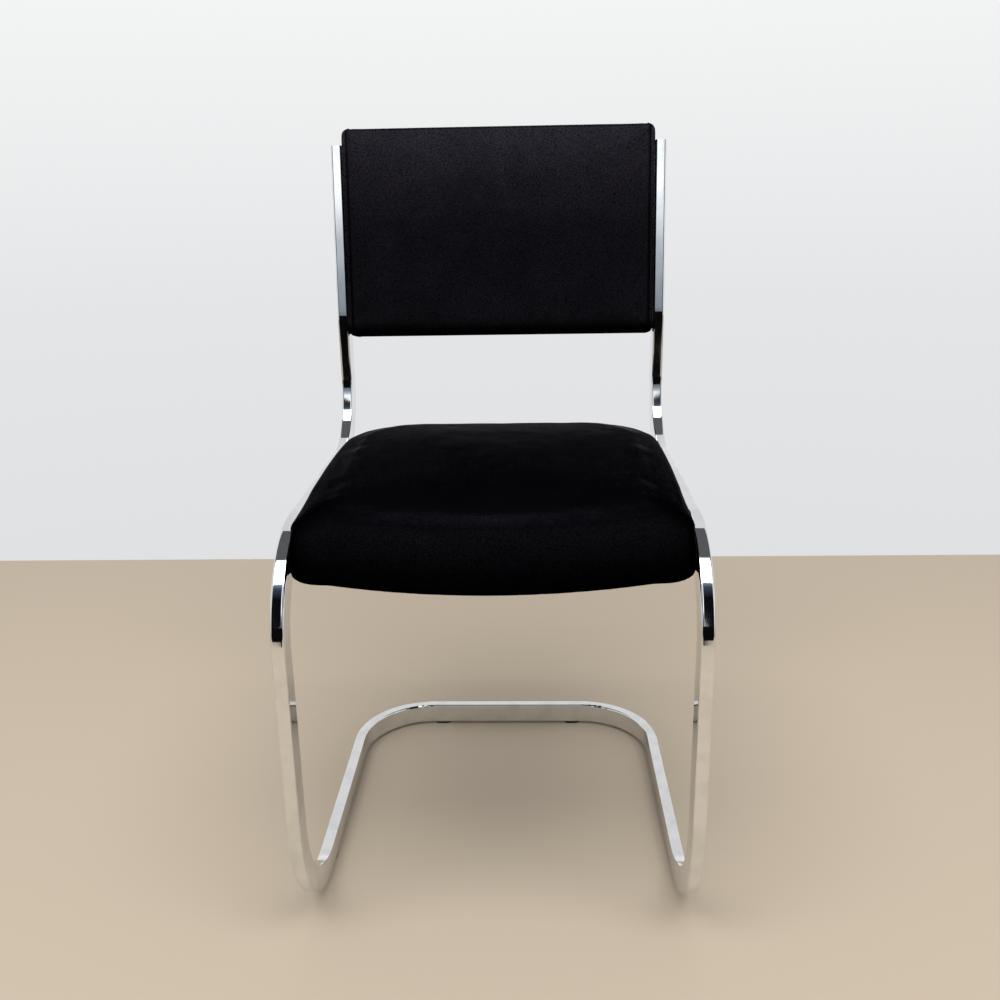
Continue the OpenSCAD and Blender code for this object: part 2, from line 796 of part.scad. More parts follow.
whole_chair() mirror([1, 0, 0]) frame_half();  // frame_left
whole_chair() frame_half();  // frame_right
whole_chair() rear_bar_sleeve();
whole_chair() mirror([1, 0, 0]) end_cap();  // end_cap_left
whole_chair() end_cap();  // end_cap_right
whole_chair() mirror([1, 0, 0]) glide(front_glide, 0);  // glide_front_left
whole_chair() glide(front_glide, 0);  // glide_front_right
whole_chair() mirror([1, 0, 0]) glide(rear_glide, 90);  // glide_rear_left
whole_chair() glide(rear_glide, 90);  // glide_rear_right
whole_chair() seat_timber_front();
whole_chair() seat_timber_back();
whole_chair() mirror([1, 0, 0]) seat_timber_right();  // seat_timber_left
whole_chair() seat_timber_right();
whole_chair() seat_dowels();
whole_chair() seat_deck();
whole_chair() seat_foam();
whole_chair() seat_cover();
whole_chair() seat_dust_cloth();
whole_chair() seat_staples();
whole_chair() seat_inserts();
whole_chair() seat_bolts();
whole_chair() back_plane() back_timber_left();
whole_chair() back_plane() back_timber_right();
whole_chair() back_plane() back_timber_top();
whole_chair() back_plane() back_timber_bottom();
whole_chair() back_plane() back_dowels();
whole_chair() back_plane() back_ply_panel();
whole_chair() back_plane() back_foam();
whole_chair() back_plane() back_cover();
whole_chair() back_plane() back_rear_board();
whole_chair() back_plane() back_staples();
whole_chair() back_plane() back_inserts();
whole_chair() back_plane() back_bolts();
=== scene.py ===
from math import atan2, cos, exp, pi, radians, sin

import bpy
import numpy as np
from mathutils import Matrix, Vector
from mathutils.bvhtree import BVHTree


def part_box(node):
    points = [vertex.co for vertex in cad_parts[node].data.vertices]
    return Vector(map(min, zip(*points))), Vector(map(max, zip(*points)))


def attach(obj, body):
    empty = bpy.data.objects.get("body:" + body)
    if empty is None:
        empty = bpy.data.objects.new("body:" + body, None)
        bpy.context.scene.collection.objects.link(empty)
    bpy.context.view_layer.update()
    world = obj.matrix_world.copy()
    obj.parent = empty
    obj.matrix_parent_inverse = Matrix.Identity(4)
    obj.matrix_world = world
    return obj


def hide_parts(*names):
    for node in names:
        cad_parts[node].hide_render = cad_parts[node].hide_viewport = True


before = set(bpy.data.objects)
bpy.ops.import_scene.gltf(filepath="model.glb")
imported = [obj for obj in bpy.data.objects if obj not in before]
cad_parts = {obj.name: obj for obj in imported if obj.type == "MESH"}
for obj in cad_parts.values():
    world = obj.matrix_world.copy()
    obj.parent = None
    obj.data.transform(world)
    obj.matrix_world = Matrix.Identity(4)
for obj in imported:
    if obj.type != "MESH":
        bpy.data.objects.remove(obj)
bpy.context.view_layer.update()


# The bent frame: two mirrored halves of rectangular steel tube, bent cold, ground smooth and
# chromed, with a press-fitted sleeve that joins them inside the rear bar. The chrome is a
# bright mirror with the faint grinding marks and finger haze of a chair in use.
def new_finish(name):
    """A new material, with its nodes, its links and its shader."""
    material = bpy.data.materials.new(name)
    material.use_nodes = True
    tree = material.node_tree
    return material, tree.nodes, tree.links, tree.nodes["Principled BSDF"]


def cloudy(nodes, links, size, detail=3.0, stretch=(1, 1, 1), swirl=0.0):
    """Soft mottling: blotches of about `size` metres, drawn out along the axes by `stretch`."""
    place = nodes.new("ShaderNodeTexCoord")
    pull = nodes.new("ShaderNodeMapping")
    pull.inputs["Scale"].default_value = [1 / s for s in stretch]
    noise = nodes.new("ShaderNodeTexNoise")
    noise.inputs["Scale"].default_value = 1 / size
    noise.inputs["Detail"].default_value = detail
    noise.inputs["Distortion"].default_value = swirl
    links.new(place.outputs["Object"], pull.inputs["Vector"])
    links.new(pull.outputs["Vector"], noise.inputs["Vector"])
    return noise.outputs["Fac"]


def between(nodes, links, value, low, high, start=0.3, end=0.7):
    """A number that goes from low to high as the mottling goes from start to end."""
    span = nodes.new("ShaderNodeMapRange")
    for name, number in (("From Min", start), ("From Max", end), ("To Min", low), ("To Max", high)):
        span.inputs[name].default_value = number
    links.new(value, span.inputs["Value"])
    return span.outputs["Result"]


def shaded(nodes, links, value, stops):
    """A colour picked from stops of (place, red, green, blue) by the mottling."""
    ramp = nodes.new("ShaderNodeValToRGB")
    while len(ramp.color_ramp.elements) < len(stops):
        ramp.color_ramp.elements.new(0.5)
    for element, stop in zip(ramp.color_ramp.elements, stops):
        element.position = stop[0]
        element.color = (*stop[1:], 1)
    links.new(value, ramp.inputs["Fac"])
    return ramp.outputs["Color"]


def raised(nodes, links, shader, value, height, strength=1.0, under=None):
    """Relief of about `height` metres on the surface, on top of the relief `under`."""
    bump = nodes.new("ShaderNodeBump")
    bump.inputs["Distance"].default_value = height
    bump.inputs["Strength"].default_value = strength
    links.new(value, bump.inputs["Height"])
    if under is not None:
        links.new(under, bump.inputs["Normal"])
    links.new(bump.outputs["Normal"], shader.inputs["Normal"])
    return bump.outputs["Normal"]


def polished_chrome():
    material, nodes, links, shader = new_finish("polished_chrome")
    shader.inputs["Metallic"].default_value = 1.0
    haze = cloudy(nodes, links, size=0.030, detail=4, swirl=0.6)
    waves = cloudy(nodes, links, size=0.045, detail=1)
    grinding = cloudy(nodes, links, size=0.0009, detail=5)
    links.new(shaded(nodes, links, haze, [(0.3, 0.74, 0.75, 0.76), (0.6, 0.83, 0.84, 0.85)]),
              shader.inputs["Base Color"])
    links.new(between(nodes, links, haze, low=0.055, high=0.02), shader.inputs["Roughness"])
    ripple = raised(nodes, links, shader, waves, height=0.00012, strength=0.6)
    raised(nodes, links, shader, grinding, height=0.00001, strength=0.35, under=ripple)
    return material


def dress(material, *names):
    """Gives CAD nodes that keep their shape a finish in place of their plain colour."""
    for name in names:
        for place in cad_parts[name].material_slots:
            place.material = material


chrome = polished_chrome()
dress(chrome, "frame_left", "frame_right", "seat_bolts", "back_bolts")


# Zinc plated steel: the sleeve in the rear bar, the threaded inserts in the timbers and the
# staples. Bright plating, a little dull and blotchy, as it comes from the barrel.
def zinc_plate():
    material, nodes, links, shader = new_finish("zinc_plate")
    shader.inputs["Metallic"].default_value = 1.0
    blotch = cloudy(nodes, links, size=0.004, detail=5)
    pits = cloudy(nodes, links, size=0.0006, detail=4)
    links.new(shaded(nodes, links, blotch, [(0.3, 0.50, 0.52, 0.55), (0.7, 0.66, 0.67, 0.68)]),
              shader.inputs["Base Color"])
    links.new(between(nodes, links, blotch, low=0.42, high=0.26), shader.inputs["Roughness"])
    raised(nodes, links, shader, pits, height=0.00003, strength=0.5)
    return material


dress(zinc_plate(), "rear_bar_sleeve", "seat_inserts", "back_inserts", "seat_staples", "back_staples")


# Floor glides and end caps: the glides are black moulded feet, pushed into holes under the tube
# and scuffed by the floor. The caps are plugs pressed into the upper ends of the tubes, with the
# same chrome as the frame.
def moulded_black():
    material, nodes, links, shader = new_finish("moulded_black")
    scuff = cloudy(nodes, links, size=0.006, detail=5, swirl=0.4)
    grain = cloudy(nodes, links, size=0.0005, detail=2)
    links.new(shaded(nodes, links, scuff, [(0.35, 0.010, 0.010, 0.011), (0.75, 0.030, 0.029, 0.028)]),
              shader.inputs["Base Color"])
    links.new(between(nodes, links, scuff, low=0.38, high=0.62), shader.inputs["Roughness"])
    raised(nodes, links, shader, grain, height=0.00005, strength=0.6)
    return material


dress(moulded_black(), "glide_front_left", "glide_front_right", "glide_rear_left", "glide_rear_right")
dress(chrome, "end_cap_left", "end_cap_right")


# Timbers and dowels of the seat and of the back: planed beech, with its short dark flecks and
# its grain along each piece. The corners are dowelled and glued.
def darkened(nodes, links, colour, layer, share=1.0):
    """A colour darkened by a second layer, by a share of its full effect."""
    blend = nodes.new("ShaderNodeMixRGB")
    blend.blend_type = "MULTIPLY"
    blend.inputs["Fac"].default_value = share
    links.new(colour, blend.inputs["Color1"])
    links.new(layer, blend.inputs["Color2"])
    return blend.outputs["Color"]


def planed_beech(name, stretch):
    """Beech whose rings are drawn out along the piece, and its flecks less so."""
    material, nodes, links, shader = new_finish(name)
    rings = cloudy(nodes, links, size=0.010, detail=4, stretch=stretch, swirl=0.5)
    fleck = cloudy(nodes, links, size=0.0016, detail=2, stretch=[1 + (s - 1) * 0.3 for s in stretch])
    wood = shaded(nodes, links, rings, [(0.3, 0.50, 0.31, 0.17), (0.7, 0.66, 0.45, 0.27)])
    flecks = shaded(nodes, links, fleck, [(0.32, 0.45, 0.36, 0.30), (0.45, 1, 1, 1)])
    links.new(darkened(nodes, links, wood, flecks, share=0.6), shader.inputs["Base Color"])
    links.new(between(nodes, links, rings, low=0.68, high=0.52), shader.inputs["Roughness"])
    raised(nodes, links, shader, fleck, height=0.00012, strength=0.5)
    return material


grain_pull = 14
across_the_chair = (grain_pull, 1, 1)
front_to_back = (1, grain_pull, 1)
upward = (1, 1, grain_pull)
dress(planed_beech("beech_across", across_the_chair),
      "seat_timber_front", "seat_timber_back", "back_timber_top", "back_timber_bottom", "back_dowels")
dress(planed_beech("beech_along", front_to_back), "seat_timber_left", "seat_timber_right", "seat_dowels")
dress(planed_beech("beech_upward", upward), "back_timber_left", "back_timber_right")


# The deck in the seat and the panel in the back: birch plywood, its face veneer along the
# chair's width and its edges striped by the glued layers. Each lies on its timber frame.
def birch_ply(name, layers):
    """Plywood, with `layers` the pull that flattens the mottling of its edges into stripes."""
    material, nodes, links, shader = new_finish(name)
    veneer = cloudy(nodes, links, size=0.014, detail=5, stretch=across_the_chair, swirl=1.0)
    stripes = cloudy(nodes, links, size=0.0012, detail=0, stretch=layers)
    face = shaded(nodes, links, veneer, [(0.3, 0.55, 0.40, 0.25), (0.7, 0.74, 0.60, 0.42)])
    glue_lines = shaded(nodes, links, stripes, [(0.40, 0.55, 0.44, 0.36), (0.60, 1, 1, 1)])
    links.new(darkened(nodes, links, face, glue_lines, share=0.5), shader.inputs["Base Color"])
    links.new(between(nodes, links, veneer, low=0.72, high=0.56), shader.inputs["Roughness"])
    raised(nodes, links, shader, veneer, height=0.0001, strength=0.5)
    return material


sheet_pull = 400
dress(birch_ply("ply_deck", (sheet_pull, sheet_pull, 1)), "seat_deck")
dress(birch_ply("ply_panel", (sheet_pull, 1, sheet_pull)), "back_ply_panel")


# The seat cushion: foam over the deck and the timbers, under black velvet that is pulled down
# over the edges and stapled to the underside. It is squeezed between the rails, swells over
# them, and its front edge is bowed, full and round.
dust_cloth_inset = 0.009
half_rail_depth = 0.015
rear_bend_ahead = 0.073  # from the start of the uprights' bend to the back of the seat

seat_low, seat_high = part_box("seat_cover")
bolts_low, bolts_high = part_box("seat_bolts")
seat_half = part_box("seat_dust_cloth")[1].x + dust_cloth_inset
rail_high = (bolts_low.z + bolts_high.z) / 2 + half_rail_depth
legs_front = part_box("frame_right")[0].y
uprights_begin = seat_high.y - rear_bend_ahead

seat_bow = 0.048
seat_front_corner = 0.058
seat_back_corner = 0.077
seat_crown = 0.009
seat_top = seat_high.z - seat_crown
seat_swell = 0.002  # over the rails, before the uprights
seat_draw_in = 0.011  # of the upper edge, towards the front
seat_corner_sink = 0.001  # of the back corners
seat_corner_full = 0.007  # how far the front corners are rounded out
seat_corner_bunch = 0.002  # how far the cover bunches under them


def arc(centre, radius, start, end, steps):
    """Points on an arc in plan, from one angle to another, in degrees."""
    turns = [radians(start + (end - start) * k / steps) for k in range(steps + 1)]
    return [(centre[0] + radius * cos(t), centre[1] + radius * sin(t)) for t in turns]


def even_loop(points, count):
    """The closed outline through these points, as `count` points at equal steps."""
    path = np.array(list(points) + [points[0]])
    run = np.concatenate([[0], np.cumsum(np.linalg.norm(np.diff(path, axis=0), axis=1))])
    places = np.linspace(0, run[-1], count, endpoint=False)
    return np.stack([np.interp(places, run, path[:, k]) for k in (0, 1)], axis=1)


def outward(loop):
    """The way out of a closed outline at each of its points."""
    along = np.roll(loop, -1, axis=0) - np.roll(loop, 1, axis=0)
    out = np.stack([along[:, 1], -along[:, 0]], axis=1)
    return out / np.linalg.norm(out, axis=1)[:, None]


def seat_outline(side, front, back, count=260):
    """The seat's plan, drawn in from its sides, its front and its back."""
    bow_steps, front_steps, rear_steps = 24, 12, 16
    wide = seat_half - side
    corner = 0.75 * (seat_front_corner - side)
    turn_in = wide - corner
    slope = atan2(2 * seat_bow * turn_in, seat_half ** 2)
    radius = corner / (1 - sin(slope))
    y_front = seat_low.y + front
    y_back = seat_high.y - back
    y_corner = y_front + seat_bow * (turn_in / seat_half) ** 2 + radius * cos(slope)
    rear = seat_back_corner - back
    half = []
    for k in range(bow_steps):
        x = turn_in * k / bow_steps
        half.append((x, y_front + seat_bow * (x / seat_half) ** 2))
    half += arc((wide - radius, y_corner), radius, -90 + slope * 180 / pi, 0, front_steps)
    half += arc((wide - rear, y_back - rear), rear, 0, 90, rear_steps)
    return even_loop(half + [(-x, y) for x, y in reversed(half[1:])], count)


def eased(steps, fine):
    """Rows of numbers as a smooth run through them, with `fine` rows for each step."""
    rows = np.array(steps, float)
    rows = np.vstack([2 * rows[0] - rows[1], rows, 2 * rows[-1] - rows[-2]])
    run = []
    for k in range(1, len(rows) - 2):
        a, b, c, d = rows[k - 1:k + 3]
        for t in np.arange(fine) / fine:
            run.append(0.5 * (2 * b + (c - a) * t + (2 * a - 5 * b + 4 * c - d) * t ** 2
                              + (3 * b - a - 3 * c + d) * t ** 3))
    return np.array(run + [rows[-2]])


def skinned(name, rings, first, last):
    """A closed skin over rings of points, from the middle of its base to that of its crown."""
    count = len(rings[0])
    points = [first] + [tuple(p) for ring in rings for p in ring] + [last]
    faces = [(0, 1 + (i + 1) % count, 1 + i) for i in range(count)]
    for k in range(len(rings) - 1):
        a = 1 + k * count
        faces += [(a + i, a + (i + 1) % count, a + count + (i + 1) % count, a + count + i)
                  for i in range(count)]
    a = 1 + (len(rings) - 1) * count
    faces += [(a + i, a + (i + 1) % count, len(points) - 1) for i in range(count)]
    mesh = bpy.data.meshes.new(name)
    mesh.from_pydata(points, [], faces)
    mesh.validate()
    for face in mesh.polygons:
        face.use_smooth = True
    piece = bpy.data.objects.new(name, mesh)
    bpy.context.scene.collection.objects.link(piece)
    return piece


def fade(distance, length):
    """From 0 where the distance begins to 1 at `length` and beyond."""
    return np.clip(distance / length, 0, 1)


def seat_shell():
    """The cushion before it is filled: sections at its sides and its front, run round its plan.
    Each row of a section is its share of the plan, how far out of that it lies, and its height."""
    plan = seat_outline(0, 0, 0)
    out = outward(plan)
    centre = np.array([0, (seat_low.y + seat_high.y) / 2])
    hem = seat_low.z
    fine = 5
    crown_rows = [[0.84, 0, seat_top + 0.3 * seat_crown], [0.6, 0, seat_top + 0.7 * seat_crown],
                  [0.3, 0, seat_top + 0.93 * seat_crown]]
    side = eased([
        [1, -0.0010, hem], [1, -0.0002, hem + 0.0003], [1, 0, hem + 0.0016], [1, 0, rail_high - 0.001],
        [1, 0, rail_high + 0.004], [1, 0, rail_high + 0.009], [1, -0.0036, seat_top - 0.008],
        [1, -0.013, seat_top - 0.003], [1, -0.019, seat_top - 0.0005], *crown_rows,
    ], fine)
    front = eased([
        [1, -0.010, hem], [1, -0.004, hem + 0.0025], [1, -0.001, hem + 0.008], [1, -0.0007, hem + 0.022],
        [1, -0.003, rail_high - 0.004], [1, -0.005, rail_high + 0.006], [1, -0.009, seat_top - 0.011],
        [1, -0.0155, seat_top - 0.005], [1, -0.027, seat_top - 0.001], *crown_rows,
    ], fine)
    crown_begins = 9
    draw_in_end = seat_low.y + 0.39 * (seat_high.y - seat_low.y)
    at_rear = fade(uprights_begin - plan[:, 1], 0.060) * fade(plan[:, 1] - draw_in_end, 0.090)
    at_fore = fade(draw_in_end - plan[:, 1], 0.150)
    back_corner_share = np.where(out[:, 1] > 0, (2 * out[:, 0] * out[:, 1]) ** 2, 0)
    to_the_front = fade(np.arctan2(-out[:, 1], np.abs(out[:, 0])), radians(70))
    front_corner_share = np.sin(pi * to_the_front)
    fullest, spread = -0.026, 0.022  # of the front corners, from the rails' upper face
    bunch_begins, bunch_run = -0.018, 0.012
    rounding = {j: exp(-(j / 5) ** 2) for j in range(-10, 11)}
    rings = []
    for k, (s, f) in enumerate(zip(side, front)):
        row = k / fine
        share = np.maximum(0, -out[:, 1])[:, None] ** (1.2 + 0.8 * min(row / 4, 1))
        step = s + share * (f - s)
        above = step[:, 2] - rail_high
        on_side = out[:, 0] ** 2 * fade(crown_begins - row, 2)
        swell = seat_swell * on_side * at_rear * fade(above, 0.006)
        draw_in = seat_draw_in * on_side * at_fore * fade(above - 0.004, 0.008)
        full = seat_corner_full * front_corner_share * np.exp(-((above - fullest) / spread) ** 2)
        grown = step[:, 1] + swell - draw_in + full
        flat = centre + step[:, :1] * (plan - centre) + grown[:, None] * out
        sink = seat_corner_sink * back_corner_share * step[:, 0] ** 3 * fade(above, 0.022)
        bunch = seat_corner_bunch * front_corner_share * fade(bunch_begins - above, bunch_run)
        ring = np.column_stack([flat, step[:, 2] - sink - bunch])
        softer = sum(np.roll(ring, j, axis=0) * weight for j, weight in rounding.items())
        softer /= sum(rounding.values())
        on_top = fade(ring[:, 2:] - seat_top + 0.012, 0.012)
        rings.append(ring + on_top * (softer - ring))
    return skinned("seat_cushion", rings, (0, centre[1], hem), (0, centre[1], seat_top + seat_crown))


def clear_of_rails(mesh):
    """Presses the cushion's sides flat where the rails and the legs hold them. A side that
    only just reaches over a rail lies on its upper face instead."""
    margin, lip = 0.002, 0.004
    for v in mesh.vertices:
        over = abs(v.co.x) - seat_half
        if over > 0 and v.co.z < rail_high and v.co.y > legs_front - margin:
            room = rail_high - v.co.z
            if over < room + margin or room > lip:
                v.co.x = seat_half if v.co.x > 0 else -seat_half
            else:
                v.co.z = rail_high


def shrunk(piece, depth):
    """Draws a cushion in by `depth` all over, before it is filled."""
    mesh = piece.data
    normals = [v.normal.copy() for v in mesh.vertices]
    for v, normal in zip(mesh.vertices, normals):
        v.co -= depth * normal


def settle(piece):
    """Makes what the modifiers draw the piece's own mesh."""
    shown = piece.evaluated_get(bpy.context.evaluated_depsgraph_get())
    mesh = bpy.data.meshes.new_from_object(shown)
    piece.modifiers.clear()
    piece.vertex_groups.clear()
    piece.data = mesh
    mesh.name = piece.name
    for face in mesh.polygons:
        face.use_smooth = True


def evened(mesh, moved, passes=8):
    """Spreads each point's movement over its neighbours, as the wadding under the cover does."""
    one, other = np.array([tuple(edge.vertices) for edge in mesh.edges]).T
    count = np.bincount(np.concatenate([one, other]), minlength=len(moved))[:, None]
    for _ in range(passes):
        total = np.zeros_like(moved)
        np.add.at(total, one, moved[other])
        np.add.at(total, other, moved[one])
        moved = 0.5 * moved + 0.5 * total / count
    return moved


def blown_up(piece, voxel, least, most, held_below):
    """Remeshes a piece, simulates it as cloth under pressure, and keeps each point between
    `least` and `most` outside of where it was, since there is timber and foam behind it. What
    lies below `held_below` is stapled down."""
    pressure, last_frame, most_sideways = 4, 20, 0.002
    grid = piece.modifiers.new("remesh", "REMESH")
    grid.mode = "VOXEL"
    grid.voxel_size = voxel
    settle(piece)
    at_rest = np.array([v.co for v in piece.data.vertices])
    out = np.array([v.normal for v in piece.data.vertices])
    held = piece.vertex_groups.new(name="stapled")
    for v in piece.data.vertices:
        if v.co.z < held_below:
            held.add([v.index], 1.0, "REPLACE")
    cloth = piece.modifiers.new("cloth", "CLOTH")
    cloth.settings.use_pressure = True
    cloth.settings.uniform_pressure_force = pressure
    cloth.settings.vertex_group_mass = "stapled"
    cloth.settings.effector_weights.gravity = 0
    for k in range(1, last_frame + 1):
        bpy.context.scene.frame_set(k)
    settle(piece)
    bpy.context.scene.frame_set(1)
    now = np.array([v.co for v in piece.data.vertices])
    rise = np.sum((now - at_rest) * out, axis=1)[:, None]
    slid = now - at_rest - rise * out
    slid *= np.minimum(1, most_sideways / np.maximum(np.linalg.norm(slid, axis=1), 1e-9))[:, None]
    moved = evened(piece.data, np.clip(rise, least, most) * out + slid)
    for v, place in zip(piece.data.vertices, at_rest + moved):
        v.co = place
    finer = piece.modifiers.new("finer", "SUBSURF")
    finer.levels = finer.render_levels = 1
    settle(piece)


def filled(piece, voxel, least, most, held_below, square_from):
    """Draws the cushion in and blows it up as its filling does. Near the stapled hem the cover
    then lies tight round the timbers, in the shape that it was cut to, and behind `square_from`
    its side edges stay full."""
    drawn_in, side_zone, deepest = 0.003, 0.012, 0.0003
    tight_reach, tight_run, edge_push = 0.012, 0.008, 0.0060
    cut_shape = BVHTree.FromPolygons([v.co.copy() for v in piece.data.vertices],
                                     [tuple(face.vertices) for face in piece.data.polygons])
    edge = max(v.co.x for v in piece.data.vertices) - side_zone
    hem = min(v.co.z for v in piece.data.vertices)
    shrunk(piece, drawn_in)
    blown_up(piece, voxel, least, most, held_below)
    for v in piece.data.vertices:
        near, way = cut_shape.find_nearest(v.co)[:2]
        sunk = (near - v.co).dot(way)
        if abs(v.co.x) > edge and v.co.y > square_from and sunk > deepest:
            v.co = near + (v.co - near) * (deepest / sunk)
        tight = min(max((held_below + tight_reach - v.co.z) / tight_run, 0), 1)
        v.co += tight * (near - v.co)
    piece.data.update()
    for v, way in zip(piece.data.vertices, [v.normal.copy() for v in piece.data.vertices]):
        if v.co.z < held_below and abs(v.co.x) > edge and v.co.y > square_from:
            v.co += edge_push * (1 - max(abs(part) for part in way)) * way
            v.co.z = max(v.co.z, hem)


def black_velvet(name, pile_height, low, high, stops, seam=0):
    """Velvet with a painted sheen: its colour is dark face on and pale where the eye skims its
    pile, by how squarely the surface faces the eye. A painted light and shade also changes its
    tone by `stops` with height. It parts along a seam on each side, at `seam` from the middle,
    where a painted seam shadow darkens it."""
    material, nodes, links, shader = new_finish(name)
    stroke = cloudy(nodes, links, size=0.060, detail=3, swirl=0.8)
    nap = cloudy(nodes, links, size=0.0015, detail=3)
    brushed = raised(nodes, links, shader, stroke, height=0.0015, strength=0.5)
    pile = raised(nodes, links, shader, nap, pile_height, strength=0.8, under=brushed)
    # Painted sheen: the base colour is pale where the pile is seen edge on and dark where it faces the
    # eye.
    sheen_facing = nodes.new("ShaderNodeLayerWeight")
    links.new(pile, sheen_facing.inputs["Normal"])
    painted_sheen_tone = shaded(nodes, links, sheen_facing.outputs["Facing"], [
        (0.0, 0.040, 0.038, 0.051), (0.35, 0.036, 0.034, 0.046), (0.55, 0.012, 0.011, 0.016),
        (0.75, 0.004, 0.004, 0.006), (0.84, 0.009, 0.009, 0.012), (0.9, 0.16, 0.155, 0.18),
        (0.95, 0.62, 0.60, 0.66), (1.0, 0.96, 0.94, 1.0),
    ])
    # Painted light and shade: the tone is paler towards the top and darkest at the lower edge, by
    # `stops` over height.
    place = nodes.new("ShaderNodeTexCoord")
    split = nodes.new("ShaderNodeSeparateXYZ")
    links.new(place.outputs["Object"], split.inputs["Vector"])
    run = between(nodes, links, split.outputs["Z"], 0, 1, start=low, end=high)
    painted_light_by_height = shaded(nodes, links, run, [(at, value, value, value) for at, value in stops])
    speckle = shaded(nodes, links, nap, [(0.36, 0.25, 0.25, 0.27), (0.62, 1, 1, 1)])
    wear = shaded(nodes, links, stroke, [(0.3, 0.72, 0.72, 0.74), (0.7, 1, 1, 1)])
    layers = [painted_light_by_height, speckle, wear]
    # Painted seam shadow: a dark line down each seam, where the groove lies in shade.
    if seam:
        half_seam_shadow = 0.003
        aside = nodes.new("ShaderNodeMath")
        aside.operation = "ABSOLUTE"
        links.new(split.outputs["X"], aside.inputs[0])
        over = between(nodes, links, aside.outputs["Value"], 0, 1, seam - half_seam_shadow,
                       seam + half_seam_shadow)
        layers.append(shaded(nodes, links, over, [
            (0.0, 0.78, 0.78, 0.78), (0.38, 0.22, 0.22, 0.24), (0.58, 0.22, 0.22, 0.24), (0.9, 1, 1, 1),
        ]))
    for layer in layers:
        painted_sheen_tone = darkened(nodes, links, painted_sheen_tone, layer)
    links.new(painted_sheen_tone, shader.inputs["Base Color"])
    links.new(between(nodes, links, stroke, low=0.95, high=0.80), shader.inputs["Roughness"])
    shader.inputs["Specular IOR Level"].default_value = 0
    return material


# The seat's stops paint light and shade by height: darkest at the hem underneath, palest on top.
seat_velvet = black_velvet("seat_velvet", 0.0004, seat_low.z, seat_high.z, [
    (0, 0.01), (0.18, 0.03), (0.33, 0.047), (0.57, 0.09), (0.85, 0.113), (0.95, 0.20), (1, 0.26),
])
seat_cushion = seat_shell()
filled(seat_cushion, voxel=0.005, least=0.0025, most=0.0060, held_below=seat_low.z + 0.004,
       square_from=legs_front + 0.060)
clear_of_rails(seat_cushion.data)
seat_cushion.data.materials.append(seat_velvet)
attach(seat_cushion, "root")
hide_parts("seat_foam", "seat_cover")


# The dust cloth: thin black spunbond under the seat, stapled over the velvet's hem, slack
# enough to hang a little between the staples.
def spunbond():
    material, nodes, links, shader = new_finish("spunbond")
    thread = cloudy(nodes, links, size=0.0008, detail=4, stretch=(1, 6, 1))
    links.new(shaded(nodes, links, thread, [(0.35, 0.008, 0.008, 0.008), (0.7, 0.030, 0.030, 0.031)]),
              shader.inputs["Base Color"])
    links.new(between(nodes, links, thread, low=0.95, high=0.75), shader.inputs["Roughness"])
    raised(nodes, links, shader, thread, height=0.0002, strength=0.8)
    return material


def dust_cloth():
    """Two faces a cloth's thickness apart, over shrinking rings of the seat's plan. Gives the
    piece, and the width, length and area that it is cut to."""
    front_inset, hang, staples_round = 0.014, 0.0016, 21
    low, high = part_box("seat_dust_cloth")
    edge = seat_outline(dust_cloth_inset, front_inset, dust_cloth_inset, 200)
    centre = np.array([0, (low.y + high.y) / 2])
    upper = []
    lower = []
    for share in (1, 0.985, 0.96, 0.93, 0.89, 0.84, 0.78, 0.7, 0.6, 0.5, 0.4, 0.3, 0.2, 0.1):
        flat = centre + share * (edge - centre)
        turn = np.arctan2(flat[:, 1] - centre[1], flat[:, 0])
        slack = hang * (1 - share ** 6) * (1 + 0.25 * np.cos(staples_round * turn) * share ** 3)
        lower.append(np.column_stack([flat, low.z - slack]))
        upper.append(np.column_stack([flat, high.z - slack]))
    cloth = skinned("dust_cloth", lower[::-1] + upper, (0, centre[1], low.z - hang),
                    (0, centre[1], high.z - hang))
    x, y = edge[:, 0], edge[:, 1]
    area = 0.5 * abs(float(np.dot(x, np.roll(y, -1)) - np.dot(y, np.roll(x, -1))))
    return cloth, (high.x - low.x, high.y - low.y), area


dust_sheet, dust_cut, dust_area = dust_cloth()
dust_sheet.data.materials.append(spunbond())
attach(dust_sheet, "root")
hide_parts("seat_dust_cloth")


# The back cushion: foam on a plywood panel and beech timbers, under a velvet cover with a
# plain side strip. The strip turns onto the front, so that its two seams run up the front,
# just inside the edges. The cushion leans back with the upper part of the uprights.
upright_reach = 0.490  # from the front of the legs to the middle of the uprights
legs_ahead = 0.255774  # from the front of the legs to the chair's middle
slight_bend = Vector((0, upright_reach - legs_ahead, 0.646))
back_middle = 0.110  # above the slight bend, along the uprights
back_lean = radians(-6.8)
back_stand = (Matrix.Translation(slight_bend) @ Matrix.Rotation(back_lean, 4, "X")
              @ Matrix.Translation((0, 0, back_middle)))

back_half = seat_half
back_half_height = 0.138
back_corner = 0.010
back_hem = 0.0125  # depths are measured from the middle of the uprights
back_face = -0.023
back_crown = 0.005
seam_in = 0.0072
front_begins = -0.010


def back_outline(inset, count=220):
    """The back seen from the front, with its rounded corners."""
    corner_steps, least_corner = 8, 0.004
    x, z, r = back_half - inset, back_half_height - inset, max(back_corner - inset, least_corner)
    half = arc((x - r, -z + r), r, -90, 0, corner_steps) + arc((x - r, z - r), r, 0, 90, corner_steps)
    return even_loop(half + [(-x, y) for x, y in reversed(half)], count)


def upright_rings(plan, steps, fine):
    """Rings round a plan that stands upright, by rows of its share, the way out, and the depth."""
    out = outward(plan)
    rings = []
    for share, step_out, depth in eased(steps, fine):
        flat = share * plan + step_out * out
        rings.append(np.column_stack([flat[:, 0], np.full(len(flat), depth), flat[:, 1]]))
    return rings


